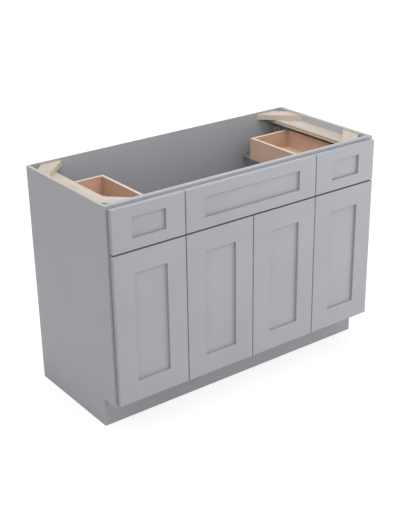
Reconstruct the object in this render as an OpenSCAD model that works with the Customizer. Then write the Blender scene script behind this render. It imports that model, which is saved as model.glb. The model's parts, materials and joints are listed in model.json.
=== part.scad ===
// Vanity base cabinet with a face frame, four doors, two drawers and a fixed
// front over the sink bay. Millimetres, +Z up. The origin lies on the floor
// under the middle of the outer box. X runs along the front and Y to the wall.

/* [Cabinet] */
// Width over the side panels
cabinet_w = 1219.2; // [1140:0.1:1320]
// Height from the floor to the rim
cabinet_h = 876.3; // [800:0.1:920]
// Depth from the face of the frame to the wall
cabinet_d = 533.4; // [515:0.1:620]
// Height of the toe space
toe_h = 114.3; // [80:0.1:130]
// Depth of the toe space behind the face of the frame
toe_d = 76.2; // [50:0.1:90]

/* [Panels] */
// Thickness of a side panel
side_t = 12.7; // [12:0.05:19]
// Thickness of the back panel
back_t = 6.35; // [5:0.05:12.7]
// Thickness of the cabinet floor
floor_t = 12.7; // [9:0.05:19]
// Thickness of the toe board
toe_board_t = 12.7; // [9:0.05:19]
// Depth of the housings that hold the floor and the back in the sides
housing_d = 6.35; // [3:0.05:8]

/* [Face frame] */
// Thickness of the frame
frame_t = 19.05; // [16:0.05:22]
// Width of each end stile
end_stile_w = 38.1; // [34:0.05:45]
// Width of each mullion
mullion_w = 76.2; // [66:0.05:80]
// Height of the top rail
top_rail_h = 38.1; // [30:0.05:45]
// Height of the middle rails
middle_rail_h = 31.75; // [30:0.05:45]
// Height of the bottom rail
bottom_rail_h = 38.1; // [30:0.05:45]

/* [Fronts] */
// Thickness of doors and drawer fronts
front_t = 19.05; // [18.5:0.05:19.6]
// Gap that the bumpers keep between frame and fronts
front_gap = 3; // [3:0.05:4]
// Strip of frame left bare around the fronts
reveal = 9.5; // [6:0.05:12]
// Upright gap between neighbouring fronts
column_gap = 3.2; // [3.2:0.05:6]
// Level gap between drawer fronts and doors
row_gap = 5.5; // [2:0.05:6]
// Height of the drawer fronts
drawer_front_h = 159.65; // [150:0.05:180]
// Width of the stiles of every front
stile_w = 80; // [78:0.05:85]
// Height of the rails of a door
door_rail_h = 80; // [60:0.05:85]
// Height of the rails of a drawer front
drawer_rail_h = 42; // [36:0.05:48]
// Depth of the panel behind the face of its frame
panel_recess = 9.5; // [6:0.05:10]
// Thickness of the panels
front_panel_t = 6.35; // [5:0.05:7]
// Depth of the groove that holds a panel
groove_d = 9.5; // [6:0.05:11]
// Room for a panel to swell in its groove
panel_float = 0.8; // [0.3:0.05:1.5]
// Radius of the eased edges on the face
ease_front = 2.2; // [1.8:0.05:3]
// Radius of the eased edges on the back
ease_back = 1.5; // [1:0.05:2]

/* [Top supports] */
// Length of a corner block along each wall of its corner
block_leg = 130; // [100:0.1:150]
// Width of a corner block
block_w = 60; // [40:0.1:65]
// Thickness of a corner block
block_t = 22; // [12:0.05:24]
// Drop of the corner blocks below the rim
block_drop = 6.35; // [2:0.05:8]
// Width of a kicker board
kicker_w = 76.2; // [60:0.1:90]
// Thickness of a kicker board
kicker_t = 13.5; // [9:0.05:16]

/* [Drawer boxes] */
// Height of the sides of a drawer box
box_h = 88.9; // [70:0.05:95]
// Depth of a drawer box
box_d = 432.5; // [360:0.1:440]
// Thickness of the four walls
box_t = 12.7; // [11:0.05:13.5]
// Thickness of the bottom
box_bottom_t = 6.35; // [5:0.05:9]
// Height of the hollow under the bottom
box_recess = 12.7; // [12:0.05:16]
// Depth of the groove that holds the bottom
box_groove_d = 6; // [4:0.05:8]
// Room for the bottom to swell in its groove
bottom_float = 0.4; // [0.3:0.05:1]
// Room beside the box in its opening
box_side_gap = 12.7; // [5:0.05:16]
// Height of the box above the middle rail
box_lift = 4.7; // [4:0.05:8]
// Number of dovetails at each corner
tail_n = 3; // [2:1:4]
// Width of a tail at its root
tail_w = 15; // [10:0.05:18]
// Spread of a tail on each side at its end
tail_spread = 2; // [1:0.05:3]

/* [Slides] */
// Width of a slide
slide_w = 28; // [24:0.05:34]
// Thickness of the sheet that the slides are rolled from
slide_sheet = 1.5; // [1:0.05:1.6]
// Running gap between the members of a slide
slide_gap = 0.5; // [0.3:0.05:0.6]
// Length of the fixed member behind the drawer box
slide_over = 27.5; // [5:0.1:40]
// Distance of the middle member before the rear end of the fixed member
middle_short = 20; // [5:0.1:40]
// Distance of the middle member behind the front end of the fixed member
middle_set = 6; // [2:0.1:12]
// Height of the walls of the fixed member
slide_wall_h = 8; // [5:0.05:10]
// Room between a slide and the wall of the box
slide_side_gap = 1.3; // [0.5:0.05:3]
// Room between a slide and the front of the box
slide_front_gap = 1.3; // [0.5:0.05:3]
// Thickness of a rear bracket
bracket_t = 2; // [1.2:0.05:3]
// Height of the foot of a rear bracket
bracket_foot_h = 30; // [20:0.1:40]
// Height of the web that carries the slide's end on a rear bracket
bracket_web_h = 16; // [8:0.1:20]
// Width of the tall arm of an outer rear bracket
bracket_arm_w = 34; // [24:0.1:36]
// Height of the tall arm above the middle rail
bracket_arm_h = 77; // [40:0.1:90]
// Distance of the foot's screws from the middle of the slide
bracket_screw_side = 7; // [4:0.05:8]
// Distance of the arm's screw from its top
bracket_screw_top = 12; // [6:0.05:20]
// Room between an outer bracket and the side panel
bracket_side_gap = 3; // [0.5:0.05:8]
// Length of the slide's end that rests on a bracket
bracket_lap = 26; // [15:0.1:40]
// Width of a front clip under a drawer
clip_w = 22; // [16:0.1:26]
// Length of a front clip
clip_len = 48; // [36:0.1:60]
// Thickness of the walls of a front clip
clip_wall = 3; // [2:0.05:5]
// Length of the solid nose of a front clip
clip_nose = 10; // [6:0.1:20]
// Room between a front clip and its slide
clip_gap = 0.3; // [0.3:0.05:1]
// Distance of the drawer front screws from the walls of the box
front_screw_side = 5; // [4:0.05:5.2]
// Distance of the drawer front screws from the bottom and the rim
front_screw_edge = 9; // [6:0.05:14]

/* [Hinges] */
// Radius of the bore for a hinge cup
cup_bore_r = 17.5; // [17.5:0.05:18]
// Radial room between a cup and its bore
cup_gap = 0.1; // [0.05:0.01:0.3]
// Depth of a hinge cup
cup_depth = 13.4; // [12.5:0.05:13.5]
// Wood left between a cup and the edge of the door
cup_edge = 4; // [3:0.05:4.5]
// Thickness of the wall of a cup
cup_wall = 0.8; // [0.5:0.05:1]
// Thickness of the bottom of a cup
cup_floor = 0.6; // [0.4:0.05:0.7]
// Thickness of the ears of a cup
ear_t = 1.2; // [0.8:0.05:1.5]
// Width of an ear
ear_w = 14; // [12:0.05:16]
// Metal between an ear's screw and its end
ear_margin = 2; // [1:0.05:3]
// Room between the arm and the ears
ear_gap = 3; // [1:0.05:4]
// Distance of the ear screws from the cup's centre, away from the door's edge
ear_screw_x = 9.5; // [8:0.05:10]
// Distance of the ear screws from the cup's centre, along the door's edge
ear_screw_z = 22.5; // [22:0.05:24]
// Distance from the end of the door to a cup
hinge_end = 90; // [60:0.1:120]
// Distance from the edge of the door to the hinge pin
pin_edge = 8.8; // [8.4:0.05:9.2]
// Radius of the hinge pin
pin_r = 1; // [0.8:0.05:1.1]
// Radial gap between the pin and the eye of the arm
pin_gap = 0.05; // [0.02:0.01:0.1]
// Radius of the eye of the arm
eye_r = 1.9; // [1.8:0.05:2]
// Gap between the eye and the bottom of the cup
eye_gap = 0.3; // [0.3:0.05:0.4]
// Width of the arm
arm_w = 12; // [9:0.1:12]
// Thickness of the arm
arm_t = 1.8; // [1.2:0.05:1.8]
// Distance from the cup's centre to the outer face of the arm's upright
arm_rise = 11.3; // [9:0.05:13]
// Room between the arm and the face of the frame
arm_gap = 0.5; // [0.3:0.05:0.6]
// Outer radius of the bend of the arm
arm_bend_r = 8; // [5:0.05:9]
// Thickness of the base plate
base_t = 2.4; // [1.5:0.05:2.6]
// Height of the base plate
base_h = 40; // [36:0.1:50]
// Distance from the base plate to the faces of the frame
base_inset = 1; // [0.5:0.05:1.5]
// Distance of the outer screws from the ends of the base plate
base_screw_edge = 6; // [5:0.05:7]

/* [False front clips] */
// Thickness of the sheet of a clip
hook_sheet = 1.5; // [1:0.05:2]
// Height of a clip
hook_h = 24; // [16:0.1:28]
// Distance from the mullion to the screw in the front
hook_pad = 10; // [8:0.05:16]
// Distance from the edge of the mullion to the screw in the mullion
hook_reach = 12; // [8:0.05:20]
// Room between a clip and the edge of the mullion
hook_gap = 0.5; // [0.3:0.05:2]
// Distance of the clips from the rails above and below
hook_inset = 34; // [20:0.1:36]

/* [Fasteners] */
// Radius of a wood screw
screw_r = 1.75; // [1.2:0.05:2]
// Length of a wood screw in the wood
screw_len = 14; // [8:0.1:14]
// Depth of a short screw in a front
short_screw_len = 10; // [6:0.1:11]
// Radius of a flush head
flush_r = 3; // [2.4:0.05:3.2]
// Radial room around a screw or a pin in the piece that holds it
fit_gap = 0.05; // [0.03:0.01:0.08]
// Radius of a pan head
head_r = 3.5; // [2.5:0.05:4]
// Height of a pan head
head_h = 1.8; // [1:0.05:2]
// Radius of a bumper
bumper_r = 4; // [3:0.05:5]
// Room between a bumper and its front
bumper_gap = 0.2; // [0.1:0.05:0.4]
// Distance of the bumpers on the middle rails from the level gap
bumper_row_gap = 2; // [1:0.05:4]
// Distance of a bumper from the edge of its front
bumper_inset = 14; // [9:0.1:20]

/* [Hidden] */
$fn = 48;

paint = [0.66, 0.67, 0.69];
raw_ply = [0.82, 0.77, 0.68];
raw_birch = [0.80, 0.62, 0.50];
zinc = [0.55, 0.56, 0.58];
clip_plastic = [0.35, 0.36, 0.38];
clear_rubber = [0.80, 0.80, 0.80];

// Places across the depth, measured from the face of the frame
front_y = -front_gap - front_t;
back_y = cabinet_d - back_t;
frame_face_y = (front_gap + front_t - cabinet_d) / 2;

// Places across the width
half_w = cabinet_w / 2;
side_in = half_w - side_t;
stile_in = half_w - end_stile_w;
door_w = (cabinet_w - 2 * reveal - 3 * column_gap) / 4;
mullion_x = door_w + column_gap;
mullion_out = mullion_x + mullion_w / 2;
mullion_in = mullion_x - mullion_w / 2;
box_in = mullion_out + box_side_gap;
box_out = stile_in - box_side_gap;
box_w = box_out - box_in;

// Places up the height
door_z = toe_h + reveal;
drawer_z = cabinet_h - reveal - drawer_front_h;
door_h = drawer_z - row_gap - door_z;
row_z = drawer_z - row_gap / 2;
middle_rail_z = row_z - middle_rail_h / 2;
rail_top_z = middle_rail_z + middle_rail_h;
floor_top_z = toe_h + bottom_rail_h;
top_rail_z = cabinet_h - top_rail_h;
block_z = cabinet_h - block_drop - block_t;
kicker_z = block_z - kicker_t;
box_z = rail_top_z + box_lift;

// Slides, measured from the top of the middle rail
recess_z = box_lift + box_recess;
middle_z0 = slide_sheet + slide_gap;
middle_z1 = recess_z - slide_sheet - slide_gap;
slide_y = -front_gap + box_t + slide_front_gap;
box_back_y = -front_gap + box_d;
slide_end_y = box_back_y + slide_over;
slide_len = slide_end_y - slide_y;
middle_len = slide_len - middle_set - middle_short;
slide_screw_y = (slide_y + frame_t) / 2;
middle_w = slide_w - 2 * (slide_sheet + slide_gap);
cap_w = middle_w - 2 * (slide_sheet + slide_gap);

// Hinges, measured from the hinge edge and the face of the door
cup_x = cup_edge + cup_bore_r;
cup_r = cup_bore_r - cup_gap;
cup_y = front_t - cup_depth;
pin_y = cup_y + cup_floor + eye_gap + eye_r;
frame_y = front_t + front_gap;
base_y = frame_y + base_inset;
base_d = frame_t - 2 * base_inset;
cup_screw_x = cup_x + ear_screw_x;
ear_end = ear_screw_z + flush_r + ear_margin;
ear_start = arm_w / 2 + ear_gap;
pin_half = sqrt(pow(cup_r, 2) - pow(cup_x - pin_edge + pin_r, 2));
base_screw_z = base_h / 2 - base_screw_edge;
bumper_h = front_gap - bumper_gap;
panel_y = panel_recess;

module placed() {
    translate([0, frame_face_y, 0]) children();
}

// Screw with its head on the plane z = 0 and its shank below it
module screw(length) {
    cylinder(r = head_r, h = head_h);
    translate([0, 0, -length]) cylinder(r = screw_r, h = length);
}

// Way for the shank of a screw, a little wider than the shank
module screw_way(length) {
    translate([0, 0, -length]) cylinder(r = screw_r + fit_gap, h = length + 1);
}

// Screw with a tapered head that ends flush with the plane z = 0
module flush_screw(head_depth, length) {
    translate([0, 0, -head_depth]) cylinder(r1 = screw_r, r2 = flush_r, h = head_depth);
    translate([0, 0, -length]) cylinder(r = screw_r, h = length);
}

// Tapered way for a flush screw through a sheet of the head's depth
module flush_screw_way(head_depth, length) {
    translate([0, 0, -head_depth])
        cylinder(r1 = screw_r + fit_gap, r2 = flush_r + fit_gap, h = head_depth);
    translate([0, 0, -length]) cylinder(r = screw_r + fit_gap, h = length);
    cylinder(r = flush_r + fit_gap, h = 1);
}

// Turns a screw's +Z to +X, +Y or -Y
module facing(direction) {
    if (direction == "+x") rotate([0, 90, 0]) children();
    if (direction == "+y") rotate([-90, 0, 0]) children();
    if (direction == "-y") rotate([90, 0, 0]) children();
}

// Side panel with its toe notch, floor housing and back rabbet
module side_panel() {
    difference() {
        translate([side_in, frame_t, 0]) cube([side_t, cabinet_d - frame_t, cabinet_h]);
        translate([side_in - 1, frame_t - 1, -1]) cube([side_t + 2, toe_d - frame_t + 1, toe_h + 1]);
        translate([side_in - 1, frame_t - 1, floor_top_z - floor_t])
            cube([housing_d + 1, back_y - frame_t + 1, floor_t]);
        translate([side_in - 1, back_y, -1]) cube([housing_d + 1, back_t + 1, cabinet_h + 2]);
    }
}

module right_side_panel() placed() color(paint) side_panel();

module left_side_panel() placed() color(paint) mirror([1, 0, 0]) side_panel();

module back_panel() placed() color(paint) difference() {
    translate([-side_in - housing_d, back_y, 0])
        cube([2 * (side_in + housing_d), back_t, cabinet_h]);
    for_each_rear_bracket() bracket_screws_at() facing("-y") screw_way(back_t + 1);
}

module cabinet_floor() placed() color(paint)
    translate([-side_in - housing_d, frame_t, floor_top_z - floor_t])
        cube([2 * (side_in + housing_d), back_y - frame_t, floor_t]);

module toe_board() placed() color(paint)
    translate([-side_in, toe_d, 0]) cube([2 * side_in, toe_board_t, floor_top_z - floor_t]);

// Face frame: end stiles run full height, rails and mullions fit between them
module frame_end_stiles() placed() color(paint) difference() {
    for (side = [-1, 1])
        translate([side * (half_w - end_stile_w / 2) - end_stile_w / 2, 0, toe_h])
            cube([end_stile_w, frame_t, cabinet_h - toe_h]);
    hinge_base_screw_ways();
}

module frame_mullions() placed() color(paint) difference() {
    for (side = [-1, 1])
        translate([side * mullion_x - mullion_w / 2, 0, floor_top_z])
            cube([mullion_w, frame_t, top_rail_z - floor_top_z]);
    hinge_base_screw_ways();
    false_clip_places() at_hook_screw() screw_way(screw_len);
}

module frame_top_rail() placed() color(paint)
    translate([-stile_in, 0, top_rail_z]) cube([2 * stile_in, frame_t, top_rail_h]);

module frame_bottom_rail() placed() color(paint)
    translate([-stile_in, 0, toe_h]) cube([2 * stile_in, frame_t, bottom_rail_h]);

module frame_middle_rails() placed() color(paint) difference() {
    for (span = [[-stile_in, -mullion_out], [-mullion_in, mullion_in], [mullion_out, stile_in]])
        translate([span[0], 0, middle_rail_z]) cube([span[1] - span[0], frame_t, middle_rail_h]);
    for_each_slide() translate([0, slide_screw_y, 0]) screw_way(screw_len);
}

// Corner block: a board with mitred ends, laid across the corner at the origin
module corner_block() {
    short_leg = block_leg - block_w * sqrt(2);
    linear_extrude(block_t)
        polygon([[block_leg, 0], [short_leg, 0], [0, short_leg], [0, block_leg]]);
}

module corner_blocks() placed() color(raw_ply)
    for (side = [0, 1]) mirror([side, 0, 0]) {
        translate([-side_in, frame_t, block_z]) corner_block();
        translate([-side_in, back_y, block_z]) mirror([0, 1, 0]) corner_block();
    }

module kicker_boards() placed() color(raw_ply)
    for (side = [0, 1]) mirror([side, 0, 0])
        translate([side_in - kicker_w, frame_t, kicker_z])
            cube([kicker_w, back_y - frame_t, kicker_t]);

// Outline of a front seen along one of its edges, with all four corners eased
module eased_outline(length) {
    half_t = front_t / 2;
    translate([ease_front, 0]) square([length - 2 * ease_front, half_t]);
    translate([0, ease_front]) square([length, half_t - ease_front]);
    translate([ease_back, half_t]) square([length - 2 * ease_back, half_t]);
    translate([0, half_t]) square([length, half_t - ease_back]);
    for (x = [ease_front, length - ease_front]) translate([x, ease_front]) circle(ease_front);
    for (x = [ease_back, length - ease_back]) translate([x, front_t - ease_back]) circle(ease_back);
}

// Block that every piece of one front is cut from
module front_blank(w, h) {
    intersection() {
        linear_extrude(h) eased_outline(w);
        rotate([90, 0, 90]) linear_extrude(w) mirror([1, -1]) eased_outline(h);
    }
}

module shaker_stiles(w, h) {
    for (side = [0, 1]) translate([side * w, 0, 0]) mirror([side, 0, 0]) difference() {
        intersection() {
            front_blank(w, h);
            cube([stile_w, front_t, h]);
        }
        translate([stile_w - groove_d, panel_y, -1]) cube([groove_d + 1, front_panel_t, h + 2]);
    }
}

module shaker_rails(w, h, rail_h) {
    for (side = [0, 1]) translate([0, 0, side * h]) mirror([0, 0, side]) {
        difference() {
            intersection() {
                front_blank(w, h);
                translate([stile_w, 0, 0]) cube([w - 2 * stile_w, front_t, rail_h]);
            }
            translate([stile_w - 1, panel_y, rail_h - groove_d])
                cube([w - 2 * stile_w + 2, front_panel_t, groove_d + 1]);
        }
        for (x = [stile_w - groove_d, w - stile_w])
            translate([x, panel_y, 0]) cube([groove_d, front_panel_t, rail_h - groove_d]);
    }
}

module shaker_panel(w, h, rail_h) {
    edge = groove_d - panel_float;
    translate([stile_w - edge, panel_y, rail_h - edge])
        cube([w - 2 * (stile_w - edge), front_panel_t, h - 2 * (rail_h - edge)]);
}

// Fixed front over the sink bay
false_w = 2 * door_w + column_gap;

module on_false_front() {
    translate([-false_w / 2, front_y, drawer_z]) children();
}

module false_front_stiles() placed() color(paint) difference() {
    on_false_front() shaker_stiles(false_w, drawer_front_h);
    false_clip_places() at_pad_screw() screw_way(short_screw_len);
}

module false_front_rails() placed() color(paint)
    on_false_front() shaker_rails(false_w, drawer_front_h, drawer_rail_h);

module false_front_panel() placed() color(paint)
    on_false_front() shaker_panel(false_w, drawer_front_h, drawer_rail_h);

// Sheet steel clips: a pad on the back of the front, a leg through the opening
// and a hook behind the mullion
module false_clip_places() {
    for (side = [0, 1], z = [top_rail_z - hook_inset, rail_top_z + hook_inset])
        mirror([side, 0, 0]) translate([mullion_in, 0, z]) children();
}

module at_pad_screw() {
    translate([-hook_pad, -front_gap + hook_sheet, 0]) facing("+y") children();
}

module at_hook_screw() {
    translate([hook_reach, frame_t + hook_sheet, 0]) facing("+y") children();
}

module false_front_clips() placed() color(zinc) false_clip_places() difference() {
    leg_x = -hook_gap - hook_sheet;
    pad = hook_pad + head_r + 2;
    hook = hook_reach + head_r + 2;
    translate([0, 0, -hook_h / 2]) linear_extrude(hook_h) {
        translate([-pad, -front_gap]) square([pad - hook_gap, hook_sheet]);
        translate([leg_x, -front_gap]) square([hook_sheet, front_gap + frame_t + hook_sheet]);
        translate([leg_x, frame_t]) square([hook - leg_x, hook_sheet]);
    }
    at_pad_screw() screw_way(hook_sheet + 1);
    at_hook_screw() screw_way(hook_sheet + 1);
}

// Bumpers on the frame behind the free corners of every front
module bumper_at(x, z) {
    translate([x, 0, z]) rotate([90, 0, 0]) cylinder(r = bumper_r, h = bumper_h);
}

module bumpers() placed() color(clear_rubber) {
    low_z = floor_top_z - bumper_inset;
    row_inset = row_gap / 2 + bumper_r + bumper_row_gap;
    drawer_top_z = cabinet_h - reveal - bumper_inset;
    for (side = [0, 1]) mirror([side, 0, 0]) {
        for (x = [mullion_x + column_gap / 2 + bumper_inset, column_gap / 2 + bumper_inset],
             z = [low_z, row_z - row_inset])
            bumper_at(x, z);
        for (x = [mullion_x + column_gap / 2 + bumper_inset, half_w - reveal - bumper_inset,
                  mullion_x - column_gap / 2 - bumper_inset],
             z = [row_z + row_inset, drawer_top_z])
            bumper_at(x, z);
    }
}

// Doors 1 and 2 hinge on their left edge, doors 3 and 4 on their right edge
function door_left(i) = -half_w + reveal + i * (door_w + column_gap);

module on_door(i) {
    right_hand = i > 1 ? 1 : 0;
    translate([door_left(i) + right_hand * door_w, front_y, door_z])
        mirror([right_hand, 0, 0]) children();
}

module at_hinges() {
    for (z = [hinge_end, door_h - hinge_end]) translate([0, 0, z]) children();
}

module at_ear_screws() {
    for (z = [-ear_screw_z, ear_screw_z])
        translate([cup_screw_x, front_t + ear_t, z]) facing("+y") children();
}

module door_stiles(i) placed() color(paint) on_door(i) difference() {
    shaker_stiles(door_w, door_h);
    at_hinges() {
        translate([cup_x, front_t + 1, 0]) rotate([90, 0, 0])
            cylinder(r = cup_bore_r, h = cup_depth + 1);
        at_ear_screws() screw_way(short_screw_len);
    }
}

module door_rails(i) placed() color(paint) on_door(i) shaker_rails(door_w, door_h, door_rail_h);

module door_panel(i) placed() color(paint) on_door(i) shaker_panel(door_w, door_h, door_rail_h);

// Hinge cup with two screwed ears. The pin crosses the cup near the door's edge
module cup_body() {
    difference() {
        union() {
            translate([cup_x, front_t, 0]) rotate([90, 0, 0]) cylinder(r = cup_r, h = cup_depth);
            for (side = [0, 1]) mirror([0, 0, side])
                translate([cup_screw_x - ear_w / 2, front_t, ear_start])
                    cube([ear_w, ear_t, ear_end - ear_start]);
            // Collar that joins the wall of the cup to its ears
            translate([cup_x, front_t + ear_t, 0]) rotate([90, 0, 0])
                cylinder(r = cup_r, h = ear_t);
        }
        translate([cup_x, front_t + ear_t + 1, 0]) rotate([90, 0, 0])
            cylinder(r = cup_r - cup_wall, h = cup_depth + ear_t + 1 - cup_floor);
        // The arm leaves the cup between the ears, where the collar is open
        translate([cup_x - cup_bore_r, front_t, -ear_start])
            cube([2 * cup_bore_r, ear_t + 1, 2 * ear_start]);
        translate([pin_edge, pin_y, 0])
            cylinder(r = pin_r + fit_gap, h = 2 * pin_half + 1, center = true);
        at_ear_screws() flush_screw_way(ear_t, short_screw_len);
    }
}

module door_hinge_cups(i) placed() color(zinc) on_door(i) at_hinges() {
    cup_body();
    translate([pin_edge, pin_y, 0]) cylinder(r = pin_r, h = 2 * pin_half, center = true);
    at_ear_screws() flush_screw(ear_t, short_screw_len);
}

// Distance from the hinge edge of door i to the edge of its frame opening
function opening_x(i) = (i == 0 || i == 3) ? end_stile_w - reveal : (mullion_w - column_gap) / 2;

// Arm: an eye on the pin, a bar along the cup, a bend out of the cup's mouth,
// a jog through the gap where the frame is wider, and a leg on the base plate
module arm_outline(edge) {
    bar_y = pin_y - eye_r;
    rise_x = cup_x + arm_rise;
    leg_x = edge + base_t + arm_t;
    jog_y = frame_y - arm_gap - arm_t;
    difference() {
        union() {
            translate([pin_edge, pin_y]) circle(eye_r);
            translate([pin_edge, bar_y]) square([rise_x - arm_bend_r - pin_edge, arm_t]);
        }
        translate([pin_edge, pin_y]) circle(pin_r + pin_gap);
    }
    translate([rise_x - arm_bend_r, bar_y + arm_bend_r]) intersection() {
        difference() {
            circle(arm_bend_r);
            circle(arm_bend_r - arm_t);
        }
        translate([0, -arm_bend_r]) square(arm_bend_r);
    }
    translate([rise_x - arm_t, bar_y + arm_bend_r])
        square([arm_t, jog_y + arm_t - bar_y - arm_bend_r]);
    translate([min(rise_x, leg_x) - arm_t, jog_y])
        square([abs(rise_x - leg_x) + arm_t, arm_t]);
    translate([leg_x - arm_t, jog_y]) square([arm_t, base_y + base_d - jog_y]);
}

module for_each_hinge() {
    for (i = [0:3]) on_door(i) at_hinges() {
        $edge = opening_x(i);
        children();
    }
}

module hinge_base_screw_ways() {
    for_each_hinge() for (z = [-base_screw_z, 0, base_screw_z])
        translate([$edge + base_t, frame_y + frame_t / 2, z]) facing("+x") screw_way(screw_len);
}

module hinge_base_plates() placed() color(zinc) for_each_hinge() difference() {
    translate([$edge, base_y, -base_h / 2]) cube([base_t, base_d, base_h]);
    for (z = [-base_screw_z, 0, base_screw_z])
        translate([$edge + base_t, frame_y + frame_t / 2, z]) facing("+x") screw_way(base_t + 1);
}

module hinge_arms() placed() color(zinc) for_each_hinge() difference() {
    translate([0, 0, -arm_w / 2]) linear_extrude(arm_w) arm_outline($edge);
    translate([$edge + base_t + arm_t, frame_y + frame_t / 2, 0]) facing("+x") screw_way(arm_t + 1);
}

// Undermount slides: a channel fixed to the cabinet, a middle channel that runs
// in it, and a cap under the drawer bottom whose legs run in the middle channel
module slide_pair(side) {
    inset = box_t + slide_side_gap + slide_w / 2;
    mirror([side, 0, 0]) for (x = [box_in + inset, box_out - inset])
        translate([x, 0, rail_top_z]) children();
}

module for_each_slide() {
    for (side = [0, 1]) slide_pair(side) children();
}

// Channel of the slide sheet, open at the top, centred on x = 0
module channel(w, z0, z1, y0, length) {
    translate([-w / 2, y0, z0]) difference() {
        cube([w, length, z1 - z0]);
        translate([slide_sheet, -1, slide_sheet])
            cube([w - 2 * slide_sheet, length + 2, z1 - z0]);
    }
}

module slide_cabinet_members() placed() color(zinc) for_each_slide() difference() {
    channel(slide_w, 0, slide_wall_h, slide_y, slide_len);
    translate([0, slide_screw_y, slide_sheet]) flush_screw_way(slide_sheet, slide_sheet + 1);
}

module slide_middle_members(side) placed() color(zinc) slide_pair(side)
    channel(middle_w, middle_z0, middle_z1, slide_y + middle_set, middle_len);

module drawer_slide_members(side) placed() color(zinc) slide_pair(side) difference() {
    length = box_back_y - slide_y;
    leg_z = middle_z0 + slide_sheet + slide_gap;
    union() {
        translate([-slide_w / 2, slide_y, recess_z - slide_sheet])
            cube([slide_w, length, slide_sheet]);
        translate([-cap_w / 2, slide_y, leg_z]) cube([cap_w, length, recess_z - leg_z]);
    }
    translate([-cap_w / 2 + slide_sheet, slide_y - 1, leg_z - 1])
        cube([cap_w - 2 * slide_sheet, length + 2, recess_z - slide_sheet - leg_z + 1]);
}

// Rear brackets: a lap under the end of each slide, folded down into a web on
// edge, which is bent round into a foot against the back. The foot of an inner
// bracket points to the side panel, and that of an outer one carries on to the
// side panel in a tall arm
module for_each_rear_bracket() {
    for (side = [0, 1]) mirror([side, 0, 0]) for (outer = [0, 1]) {
        $outer = outer;
        inset = box_t + slide_side_gap;
        $left = outer ? box_out - inset - slide_w : box_in + inset;
        $web = $left + slide_w - bracket_t;
        $foot = outer ? $left : $web;
        $right = outer ? side_in - bracket_side_gap : $foot + slide_w;
        translate([0, back_y - bracket_t, rail_top_z]) children();
    }
}

module bracket_screws_at() {
    middle = $foot + slide_w / 2;
    translate([middle - bracket_screw_side, 0, -bracket_foot_h / 2]) children();
    if ($outer)
        translate([$right - bracket_arm_w / 2, 0, bracket_arm_h - bracket_screw_top]) children();
    else
        translate([middle + bracket_screw_side, 0, -bracket_foot_h / 2]) children();
}

module slide_rear_brackets() placed() color(zinc) for_each_rear_bracket() difference() {
    lap_y = slide_end_y - bracket_lap - back_y + bracket_t;
    union() {
        translate([$foot, 0, -bracket_foot_h]) cube([$right - $foot, bracket_t, bracket_foot_h]);
        if ($outer) translate([$right - bracket_arm_w, 0, -bracket_foot_h])
            cube([bracket_arm_w, bracket_t, bracket_foot_h + bracket_arm_h]);
        translate([$web, lap_y, -bracket_web_h])
            cube([bracket_t, bracket_t - lap_y, bracket_web_h]);
        translate([$left, lap_y, -bracket_t]) cube([slide_w, bracket_lap, bracket_t]);
    }
    bracket_screws_at() facing("-y") screw_way(bracket_t + 1);
}

// Every screw that stays with the cabinet
module cabinet_screws() placed() color(zinc) {
    for_each_hinge() for (z = [-base_screw_z, base_screw_z])
        translate([$edge + base_t, frame_y + frame_t / 2, z]) facing("+x") screw(screw_len);
    for_each_hinge() translate([$edge + base_t + arm_t, frame_y + frame_t / 2, 0])
        facing("+x") screw(screw_len + arm_t - 1);
    for_each_slide() translate([0, slide_screw_y, slide_sheet]) flush_screw(slide_sheet, screw_len);
    for_each_rear_bracket() bracket_screws_at() facing("-y") screw(back_t + bracket_t - 1);
    false_clip_places() {
        at_pad_screw() screw(short_screw_len);
        at_hook_screw() screw(screw_len);
    }
}

// Drawer fronts are the shaker front of one door's width
module on_drawer_front(side) {
    mirror([side, 0, 0]) translate([door_left(3), front_y, drawer_z]) children();
}

module drawer_front_screw_places() {
    inset = box_t + front_screw_side;
    low = box_recess + box_bottom_t + front_screw_edge;
    for (x = [box_in + inset, box_out - inset], z = [low, box_h - front_screw_edge])
        translate([x, -front_gap + box_t, box_z + z]) facing("+y") children();
}

module drawer_front_stiles(side) placed() color(paint) difference() {
    on_drawer_front(side) shaker_stiles(door_w, drawer_front_h);
    mirror([side, 0, 0]) drawer_front_screw_places() screw_way(box_t + short_screw_len);
}

module drawer_front_rails(side) placed() color(paint)
    on_drawer_front(side) shaker_rails(door_w, drawer_front_h, drawer_rail_h);

module drawer_front_panel(side) placed() color(paint)
    on_drawer_front(side) shaker_panel(door_w, drawer_front_h, drawer_rail_h);

module drawer_screws(side) placed() color(zinc)
    mirror([side, 0, 0]) drawer_front_screw_places() screw(box_t + short_screw_len);

// Drawer box, dovetailed at its four corners. Tails are on the sides
module tails() {
    pitch = box_h / tail_n;
    for (k = [0:tail_n - 1]) translate([0, (k + 0.5) * pitch])
        polygon([[0, -tail_w / 2 - tail_spread], [box_t, -tail_w / 2],
                 [box_t, tail_w / 2], [0, tail_w / 2 + tail_spread]]);
}

module side_outline() {
    translate([box_t, 0]) square([box_d - 2 * box_t, box_h]);
    translate([box_t, 0]) square([box_d - box_t, box_recess]);
    tails();
    translate([box_d, 0]) mirror([1, 0]) tails();
}

module in_box(side) {
    mirror([side, 0, 0]) translate([box_in, -front_gap, box_z]) children();
}

module bottom_slot() {
    reach = box_t - box_groove_d;
    translate([reach, reach, box_recess])
        cube([box_w - 2 * reach, box_d - 2 * reach, box_bottom_t]);
}

module side_boards() {
    for (x = [0, box_w - box_t])
        translate([x, 0, 0]) rotate([90, 0, 90]) linear_extrude(box_t) side_outline();
}

module drawer_box_sides(side) placed() color(raw_birch) in_box(side) difference() {
    side_boards();
    bottom_slot();
}

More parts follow.
